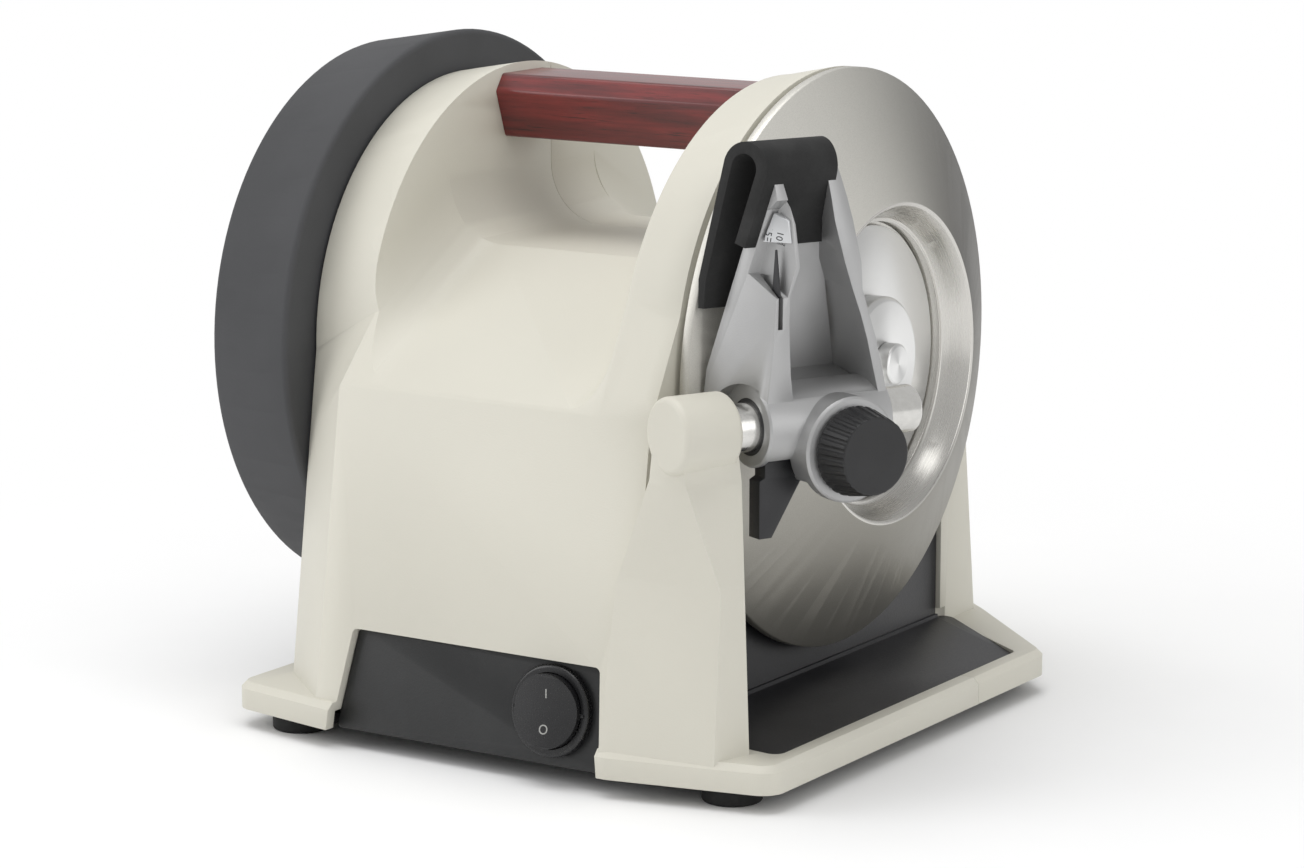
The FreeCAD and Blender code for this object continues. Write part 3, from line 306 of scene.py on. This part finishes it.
def smooth_by_angle(mesh, degrees):
    """Smooth faces, with the sharper edges kept."""
    work = bmesh.new()
    work.from_mesh(mesh)
    limit = math.radians(degrees)
    for face in work.faces:
        face.smooth = True
    for edge in work.edges:
        edge.smooth = len(edge.link_faces) == 2 and edge.calc_face_angle(0.0) < limit
    work.to_mesh(mesh)
    work.free()


def skin(node, name, material, bevel=0.0):
    """A finished copy of a node: merged, with softened edges, standing for that node."""
    source = frame["nodes"][node]
    mesh = source.data.copy()
    work = bmesh.new()
    work.from_mesh(mesh)
    bmesh.ops.remove_doubles(work, verts=work.verts, dist=0.000002)
    bmesh.ops.dissolve_limit(work, angle_limit=math.radians(0.4), verts=work.verts, edges=work.edges)
    work.to_mesh(mesh)
    work.free()
    piece = bpy.data.objects.new(name, mesh)
    bpy.context.scene.collection.objects.link(piece)
    mesh.materials.clear()
    mesh.materials.append(material)
    if bevel:
        softened = piece.modifiers.new("Edges", "BEVEL")
        softened.width = bevel
        softened.segments = 2
        softened.limit_method = "ANGLE"
        softened.angle_limit = math.radians(28.0)
        softened.harden_normals = False
        softened.miter_outer = "MITER_ARC"
        apply_modifiers(piece)
    smooth_by_angle(piece.data, 30.0)
    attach(piece, BODY_OF[node])
    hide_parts(node)
    return piece


def apply_modifiers(piece):
    """Turns what the modifiers make into a plain mesh."""
    depsgraph = bpy.context.evaluated_depsgraph_get()
    mesh = bpy.data.meshes.new_from_object(piece.evaluated_get(depsgraph))
    piece.modifiers.clear()
    piece.data = mesh


def coat(node, material):
    """Gives a node that keeps its own mesh a finished material."""
    for slot in frame["nodes"][node].material_slots:
        slot.material = material


# Where the support bar starts, and the directions along it and away from the wheel.
BAR_ALONG = Vector((0.422145, 0.906529, 0.0))
BAR_OUTWARD = Vector((0.906529, -0.422145, 0.0))
BAR_FOOT = Vector((61.0, -75.0, 90.3)) * MM + BAR_OUTWARD * 13.0 * MM

# The front face leans back by this much from its foot, and the switch sits this far to the right.
LEAN = math.radians(8.5)
FACE_FOOT = Vector((0.0, -98.5, 5.0)) * MM
FACE_UP = Vector((0.0, math.sin(LEAN), math.cos(LEAN)))
SWITCH_X = 34.0
ROCKER_MARKS = (("I", 18.3), ("O", 9.4))

# The figures on the angle scale: how far out from the bar's plane, and how high.
SCALE_FIGURES = (("20", 1.2, 48.9), ("15", 4.6, 47.8), ("10", 7.2, 46.9))


def on_bar(along, outward, up):
    """A point by the support bar: along it, away from the wheel and above its axis, in mm."""
    return BAR_FOOT + (BAR_ALONG * along + BAR_OUTWARD * outward + Vector((0, 0, 1)) * up) * MM


def on_front(x, up):
    """A point on the leaning front face: across, and up along it, in mm."""
    return FACE_FOOT + Vector((x, 0.0, 0.0)) * MM + FACE_UP * up * MM


def surface_of(nodes):
    """The faces of some nodes, to lay things on."""
    corners, faces = [], []
    for node in nodes:
        piece = frame["nodes"][node]
        first = len(corners)
        corners += [piece.matrix_world @ vertex.co for vertex in piece.data.vertices]
        faces += [[first + index for index in face.vertices] for face in piece.data.polygons]
    return BVHTree.FromPolygons(corners, faces)


def lay_on(mesh, nodes, middle, across, upward, lift):
    """Moves a thin closed mesh from its own plane down on the surface of some nodes."""
    outward = across.cross(upward).normalized()
    surface = surface_of(nodes)
    for vertex in mesh.vertices:
        spot = middle + across * vertex.co.x + upward * vertex.co.y
        hit = surface.ray_cast(spot + outward * 0.005, -outward, 0.015)[0]
        if hit is None:
            raise RuntimeError("A mark lies off its surface")
        vertex.co = hit + outward * (lift if vertex.co.z > 0 else -lift)


def add_mark(name, mesh, material, node):
    """A printed mark that moves with a node's body."""
    piece = bpy.data.objects.new(name, mesh)
    bpy.context.scene.collection.objects.link(piece)
    mesh.materials.clear()
    mesh.materials.append(material)
    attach(piece, BODY_OF[node])


def print_on(words, size, nodes, middle, across, upward, material, name):
    """Prints characters on the surface of some nodes."""
    curve = bpy.data.curves.new(name, "FONT")
    curve.body = words
    curve.size = size
    curve.extrude = 0.0001
    curve.align_x = "CENTER"
    curve.align_y = "CENTER"
    written = bpy.data.objects.new(name, curve)
    bpy.context.scene.collection.objects.link(written)
    depsgraph = bpy.context.evaluated_depsgraph_get()
    mesh = bpy.data.meshes.new_from_object(written.evaluated_get(depsgraph))
    bpy.data.objects.remove(written)
    bpy.data.curves.remove(curve)
    lay_on(mesh, nodes, middle, across, upward, 0.00005)
    add_mark(name, mesh, material, nodes[0])


def repeat_tree(material):
    """Geometry nodes that put one small block on every point of a mesh."""
    tree = bpy.data.node_groups.new("repeat_block", "GeometryNodeTree")
    tree.interface.new_socket("Geometry", in_out="INPUT", socket_type="NodeSocketGeometry")
    tree.interface.new_socket("Block size", in_out="INPUT", socket_type="NodeSocketVector")
    tree.interface.new_socket("Geometry", in_out="OUTPUT", socket_type="NodeSocketGeometry")
    start = tree.nodes.new("NodeGroupInput")
    end = tree.nodes.new("NodeGroupOutput")
    block = tree.nodes.new("GeometryNodeMeshCube")
    spread = tree.nodes.new("GeometryNodeInstanceOnPoints")
    real = tree.nodes.new("GeometryNodeRealizeInstances")
    colour = tree.nodes.new("GeometryNodeSetMaterial")
    colour.inputs["Material"].default_value = material
    tree.links.new(start.outputs["Block size"], block.inputs["Size"])
    tree.links.new(start.outputs["Geometry"], spread.inputs["Points"])
    tree.links.new(block.outputs["Mesh"], spread.inputs["Instance"])
    tree.links.new(spread.outputs["Instances"], real.inputs["Geometry"])
    tree.links.new(real.outputs["Geometry"], colour.inputs["Geometry"])
    tree.links.new(colour.outputs["Geometry"], end.inputs["Geometry"])
    return tree


def ticks_on(points, block, nodes, middle, across, upward, material, name):
    """Short lines at points of a plane, laid on the surface of some nodes."""
    mesh = bpy.data.meshes.new(name + "_points")
    mesh.from_pydata([(x, y, 0.0) for x, y in points], [], [])
    holder = bpy.data.objects.new(name, mesh)
    bpy.context.scene.collection.objects.link(holder)
    spread = holder.modifiers.new("Ticks", "NODES")
    spread.node_group = repeat_tree(material)
    sockets = spread.node_group.interface.items_tree
    size_key = next(item.identifier for item in sockets if item.name == "Block size")
    spread[size_key] = block
    apply_modifiers(holder)
    laid = holder.data
    bpy.data.objects.remove(holder)
    lay_on(laid, nodes, middle, across, upward, 0.00005)
    add_mark(name, laid, material, nodes[0])


class SharpenerColours(bpy.types.PropertyGroup):
    housing: bpy.props.FloatVectorProperty(
        name="Housing paint", description="Colour of the powder paint", subtype="COLOR",
        size=3, min=0, max=1, default=(0.655, 0.635, 0.555))
    plastic: bpy.props.FloatVectorProperty(
        name="Black plastic", description="Colour of the tray, panel and knob", subtype="COLOR",
        size=3, min=0, max=1, default=(0.016, 0.016, 0.018))
    alloy: bpy.props.FloatVectorProperty(
        name="Guide alloy", description="Colour of the cast guide", subtype="COLOR",
        size=3, min=0, max=1, default=(0.475, 0.475, 0.475))


class SharpenerSizes(bpy.types.PropertyGroup):
    housing_edge: bpy.props.FloatProperty(
        name="Housing edge", description="Radius of the softened edges of the casting",
        subtype="DISTANCE", unit="LENGTH", min=0.0, max=0.003, default=0.0009)
    plastic_edge: bpy.props.FloatProperty(
        name="Plastic edge", description="Radius of the softened edges of the mouldings",
        subtype="DISTANCE", unit="LENGTH", min=0.0, max=0.002, default=0.0004)
    turned_wall: bpy.props.FloatProperty(
        name="Turned wall", description="Radius inside which the diamond wheel is bare turned metal",
        subtype="DISTANCE", unit="LENGTH", min=0.03, max=0.07, default=0.0417)


def colours():
    """The colours set in the sidebar."""
    return bpy.context.scene.sharpener_colours


def sizes():
    """The sizes set in the sidebar."""
    return bpy.context.scene.sharpener_sizes


class Housing(bpy.types.Operator):
    """Finishes the cast housing with satin powder paint"""
    bl_idname = "sharpener.housing"
    bl_label = "Housing"

    def execute(self, context):
        paint = powder_coat("housing_powder_paint", tuple(colours().housing))
        skin("housing_front", "front_shell", paint, sizes().housing_edge)
        skin("housing_rear", "rear_shell", paint, sizes().housing_edge)
        return {"FINISHED"}


class Base(bpy.types.Operator):
    """Finishes the base cover, the side tray and the feet"""
    bl_idname = "sharpener.base"
    bl_label = "Base and tray"

    def execute(self, context):
        dark = moulded_plastic("tray_plastic", tuple(colours().plastic), 0.42)
        skin("side_tray", "drip_tray", dark, sizes().plastic_edge)
        coat("base_cover", dark)
        feet = rubber("foot_rubber", (0.012, 0.012, 0.012))
        skin("rubber_feet", "feet", feet, sizes().plastic_edge)
        coat("foot_screws", plain_metal("zinc_plate", (0.6, 0.6, 0.58), 0.3))
        return {"FINISHED"}


class Handle(bpy.types.Operator):
    """Finishes the carrying handle in red lacquered wood"""
    bl_idname = "sharpener.handle"
    bl_label = "Handle"

    def execute(self, context):
        skin("carry_handle", "wood_handle", lacquered_wood("red_lacquered_wood"))
        coat("handle_bolts", plain_metal("bolt_zinc", (0.6, 0.6, 0.58), 0.3))
        return {"FINISHED"}


class HoningWheel(bpy.types.Operator):
    """Finishes the honing wheel and what clamps it"""
    bl_idname = "sharpener.honing"
    bl_label = "Honing wheel"

    def execute(self, context):
        skin("honing_wheel", "honing_ring", honing_compound("honing_composite"), 0.0006)
        steel = turned_metal("flange_steel", (0.62, 0.62, 0.62), 0.25)
        for node in ("honing_flange", "wheel_spacer", "main_shaft"):
            coat(node, steel)
        zinc = plain_metal("nut_zinc", (0.6, 0.6, 0.58), 0.3)
        for node in ("honing_washer", "honing_nut"):
            coat(node, zinc)
        return {"FINISHED"}


class DiamondWheel(bpy.types.Operator):
    """Finishes the diamond wheel, its hub disc, nut and button"""
    bl_idname = "sharpener.diamond"
    bl_label = "Diamond wheel"

    def execute(self, context):
        cone = skin("diamond_wheel", "diamond_cone", diamond_face("diamond_nickel"), 0.0003)
        cone.data.materials.append(turned_metal("turned_wall", (0.66, 0.645, 0.61), 0.2))
        for face in cone.data.polygons:
            corners = [cone.data.vertices[index].co for index in face.vertices]
            if max(math.hypot(co.y, co.z - AXIS_HEIGHT) for co in corners) < sizes().turned_wall:
                face.material_index = 1
        disc = turned_metal("disc_aluminium", (0.86, 0.86, 0.85), 0.3)
        for node in ("hub_disc", "hub_nut", "hub_button"):
            skin(node, node + "_face", disc, 0.0003)
        return {"FINISHED"}


class Switch(bpy.types.Operator):
    """Finishes the switch panel and the rocker with its marks"""
    bl_idname = "sharpener.switch"
    bl_label = "Switch"

    def execute(self, context):
        panel = moulded_plastic("panel_plastic", (0.011, 0.0115, 0.012), 0.42)
        skin("switch_panel", "panel", panel, 0.0003)
        glossy = moulded_plastic("rocker_plastic", (0.009, 0.009, 0.010), 0.28, 1600.0, 0.00002)
        coat("switch_body", glossy)
        skin("switch_rocker", "rocker_key", glossy, 0.0003)
        ink = bare("mark_paint", (0.42, 0.42, 0.40), 0.5)
        for mark, height in ROCKER_MARKS:
            print_on(mark, 0.0034, ("switch_rocker",), on_front(SWITCH_X, height),
                     Vector((1, 0, 0)), FACE_UP, ink, "rocker_mark_" + mark)
        return {"FINISHED"}


def print_scale(ink):
    """The three figures on the left cheek, turned to read down the scale, with ticks below each."""
    outward = (-BAR_ALONG + 0.3 * BAR_OUTWARD + Vector((0, 0, 0.05))).normalized()
    nodes = ("guide_frame", "angle_scale")
    ticks = [(0.0019, step * 0.0008) for step in (-1, 0, 1)]
    for mark, out, level in SCALE_FIGURES:
        spread = math.radians(1.5 * out)
        down = -math.cos(spread) * Vector((0, 0, 1)) - math.sin(spread) * BAR_OUTWARD
        down = (down - outward * down.dot(outward)).normalized()
        upward = outward.cross(down)
        middle = on_bar(9.5 + 0.3 * (out - 7) + 0.05 * (level - 6), out, level)
        print_on(mark, 0.0023, nodes, middle, down, upward, ink, "scale_figure_" + mark)
        ticks_on(ticks, (0.0009, 0.0002, 0.0002), nodes, middle, down, upward, ink,
                 "scale_ticks_" + mark)


class KnifeGuide(bpy.types.Operator):
    """Finishes the bar, the guide, its scale, band and knob"""
    bl_idname = "sharpener.guide"
    bl_label = "Knife guide"

    def execute(self, context):
        steel = plain_metal("bar_steel", (0.78, 0.77, 0.74), 0.14)
        skin("support_bar", "guide_bar", steel, 0.0003)
        dark = moulded_plastic("guide_plastic", tuple(colours().plastic), 0.42)
        coat("bar_liner", dark)
        skin("angle_sleeve", "angle_ring", dark, 0.0003)
        alloy = cast_alloy("guide_cast_alloy", tuple(colours().alloy))
        skin("guide_frame", "guide_casting", alloy, 0.0004)
        plate = cast_alloy("scale_alloy", (0.72, 0.73, 0.74), 0.34)
        skin("angle_scale", "scale_plate", plate, 0.0002)
        band = rubber("jaw_rubber", (0.016, 0.016, 0.016))
        skin("jaw_band", "jaw_rubber_band", band, 0.0004)
        grip = moulded_plastic("knob_plastic", (0.012, 0.012, 0.013), 0.45)
        skin("clamp_knob", "knob_grip", grip)
        zinc = plain_metal("stud_zinc", (0.6, 0.6, 0.58), 0.3)
        coat("knob_stud", zinc)
        coat("bar_screw", zinc)
        ink = bare("scale_paint", (0.03, 0.03, 0.032), 0.5)
        print_scale(ink)
        return {"FINISHED"}


class Inside(bpy.types.Operator):
    """Finishes the drive, the motor and the electrics inside the housing"""
    bl_idname = "sharpener.inside"
    bl_label = "Drive and electrics"

    def execute(self, context):
        coated = (
            (("inner_frame", "motor_can"), plain_metal("sheet_steel", (0.5, 0.5, 0.5), 0.4)),
            (("motor_end_cap_drive", "motor_end_cap_fan"),
             cast_alloy("end_cap_alloy", (0.55, 0.55, 0.56))),
            (("motor_bearings", "shaft_bearing_left", "shaft_bearing_right", "motor_shaft",
              "motor_pinion"), turned_metal("bearing_steel", (0.7, 0.7, 0.7), 0.2)),
            (("motor_stator", "motor_rotor"),
             bare("lamination_steel", (0.12, 0.12, 0.12), 0.5)),
            (("motor_windings",), bare("winding_enamel", (0.35, 0.11, 0.04), 0.35)),
            (("driven_pulley", "cooling_fan", "power_inlet", "run_capacitor"),
             moulded_plastic("inside_plastic", (0.02, 0.02, 0.021), 0.45)),
            (("drive_belt",), rubber("belt_rubber", (0.015, 0.015, 0.015))),
            (("control_board",), bare("board_laminate", (0.03, 0.13, 0.05), 0.4)),
            (("inlet_pins",), plain_metal("pin_brass", (0.7, 0.52, 0.22), 0.25)),
            (("motor_screws",), plain_metal("screw_zinc", (0.6, 0.6, 0.58), 0.3)),
        )
        for nodes, material in coated:
            for node in nodes:
                coat(node, material)
        return {"FINISHED"}


class Stage(bpy.types.Operator):
    """Sets the floor, the studio light and the camera"""
    bl_idname = "sharpener.stage"
    bl_label = "Stage"

    def execute(self, context):
        scene = context.scene
        scene.view_settings.view_transform = "Standard"
        make_floor()
        make_world()
        make_lights()
        make_camera()
        return {"FINISHED"}


def make_floor():
    """A pale floor that keeps the shadow and turns plain white away from the object."""
    f = Finish("studio_floor")
    speck = f.noise(30.0, 2.0)
    x, y, _ = f.axes()
    away = (x * x + y * y) ** 0.5
    rays = f.nodes.new("ShaderNodeLightPath")
    seen = (Val(f, rays.outputs["Is Camera Ray"]) + Val(f, rays.outputs["Is Glossy Ray"])
            + Val(f, rays.outputs["Is Transmission Ray"])).clamp()
    f.set(Base_Color=f.mix(speck, (0.93, 0.93, 0.93), (0.95, 0.95, 0.95)), Roughness=0.9)
    white = f.nodes.new("ShaderNodeEmission")
    both = f.nodes.new("ShaderNodeMixShader")
    f.feed(both.inputs[0], away.smooth(0.13, 0.34) * seen)
    f.feed(both.inputs[1], f.shader.outputs["BSDF"])
    f.feed(both.inputs[2], white.outputs[0])
    f.feed(f.output.inputs["Surface"], both.outputs[0])
    mesh = bpy.data.meshes.new("studio_floor")
    work = bmesh.new()
    count, reach = 48, 6.0
    ring = [work.verts.new((reach * math.cos(2 * math.pi * i / count),
                            reach * math.sin(2 * math.pi * i / count), 0.0)) for i in range(count)]
    work.faces.new(ring)
    work.to_mesh(mesh)
    work.free()
    floor = bpy.data.objects.new("studio_floor", mesh)
    bpy.context.scene.collection.objects.link(floor)
    mesh.materials.append(f.material)


def make_world():
    """Even light from all round, and plain white where the camera sees past the floor."""
    world = bpy.data.worlds.new("studio")
    bpy.context.scene.world = world
    world.use_nodes = True
    tree = world.node_tree
    tree.nodes.clear()
    rays = tree.nodes.new("ShaderNodeLightPath")
    light = tree.nodes.new("ShaderNodeBackground")
    light.inputs["Color"].default_value = (1.0, 1.0, 1.0, 1.0)
    light.inputs["Strength"].default_value = 0.62
    white = tree.nodes.new("ShaderNodeBackground")
    white.inputs["Color"].default_value = (1.0, 1.0, 1.0, 1.0)
    white.inputs["Strength"].default_value = 1.0
    mixed = tree.nodes.new("ShaderNodeMixShader")
    out = tree.nodes.new("ShaderNodeOutputWorld")
    tree.links.new(rays.outputs["Is Camera Ray"], mixed.inputs[0])
    tree.links.new(light.outputs[0], mixed.inputs[1])
    tree.links.new(white.outputs[0], mixed.inputs[2])
    tree.links.new(mixed.outputs[0], out.inputs[0])


def area_lamp(name, place, aim, width, height, power):
    """A rectangular softbox hung at a place and turned to its aim."""
    lamp = bpy.data.lights.new(name, "AREA")
    lamp.shape = "RECTANGLE"
    lamp.size = width
    lamp.size_y = height
    lamp.energy = power
    hung = bpy.data.objects.new(name, lamp)
    bpy.context.scene.collection.objects.link(hung)
    hung.location = place
    hung.rotation_mode = "QUATERNION"
    hung.rotation_quaternion = (Vector(aim) - Vector(place)).to_track_quat("-Z", "Y")


def make_lights():
    """Three softboxes: overhead, from the left front and from the right."""
    aim = (0.0, 0.0, 0.09)
    area_lamp("overhead_softbox", (-0.1, -0.15, 1.35), aim, 1.2, 1.0, 9.0)
    area_lamp("left_softbox", (-1.1, -0.9, 0.7), aim, 0.8, 0.9, 5.0)
    area_lamp("right_softbox", (1.3, -0.2, 0.5), aim, 0.5, 0.9, 2.0)


# The camera: turned to the right of the front, tilted down, where it stands and its lens in mm.
CAMERA_TURN = math.radians(32.96)
CAMERA_TILT = math.radians(10.99)
CAMERA_PLACE = (0.559, -0.8588, 0.2677)
CAMERA_LENS = 107.75


def make_camera():
    """The camera that sees the object as the photograph does."""
    level = math.cos(CAMERA_TILT)
    back = Vector((math.sin(CAMERA_TURN) * level, -math.cos(CAMERA_TURN) * level,
                   math.sin(CAMERA_TILT)))
    right = Vector((math.cos(CAMERA_TURN), math.sin(CAMERA_TURN), 0.0))
    up = back.cross(right)
    data = bpy.data.cameras.new("photo_view")
    data.sensor_width = 36.0
    data.lens = CAMERA_LENS
    data.clip_start = 0.05
    data.clip_end = 20.0
    camera = bpy.data.objects.new("photo_view", data)
    bpy.context.scene.collection.objects.link(camera)
    camera.matrix_world = Matrix.Translation(CAMERA_PLACE) @ Matrix(
        (right, up, back)).transposed().to_4x4()
    bpy.context.scene.camera = camera


class SharpenerPanel(bpy.types.Panel):
    bl_idname = "VIEW3D_PT_sharpener"
    bl_label = "Knife sharpener"
    bl_space_type = "VIEW_3D"
    bl_region_type = "UI"
    bl_category = "Sharpener"

    def draw(self, context):
        layout = self.layout
        scene = context.scene
        for name in SharpenerColours.__annotations__:
            layout.prop(scene.sharpener_colours, name)
        for name in SharpenerSizes.__annotations__:
            layout.prop(scene.sharpener_sizes, name)
        for step in STEPS:
            layout.operator(step.bl_idname)


STEPS = (Housing, Base, Handle, HoningWheel, DiamondWheel, Switch, KnifeGuide, Inside, Stage)
CLASSES = (SharpenerColours, SharpenerSizes, *STEPS, SharpenerPanel)


def register():
    """Adds the operators, the settings and the panel."""
    for item in CLASSES:
        bpy.utils.register_class(item)
    bpy.types.Scene.sharpener_colours = bpy.props.PointerProperty(type=SharpenerColours)
    bpy.types.Scene.sharpener_sizes = bpy.props.PointerProperty(type=SharpenerSizes)


def unregister():
    """Takes everything away again."""
    del bpy.types.Scene.sharpener_sizes
    del bpy.types.Scene.sharpener_colours
    for item in reversed(CLASSES):
        bpy.utils.unregister_class(item)


def main():
    """Builds every piece and the stage."""
    register()
    for step in STEPS:
        group, name = step.bl_idname.split(".")
        getattr(getattr(bpy.ops, group), name)()


if __name__ == "__main__":
    main()
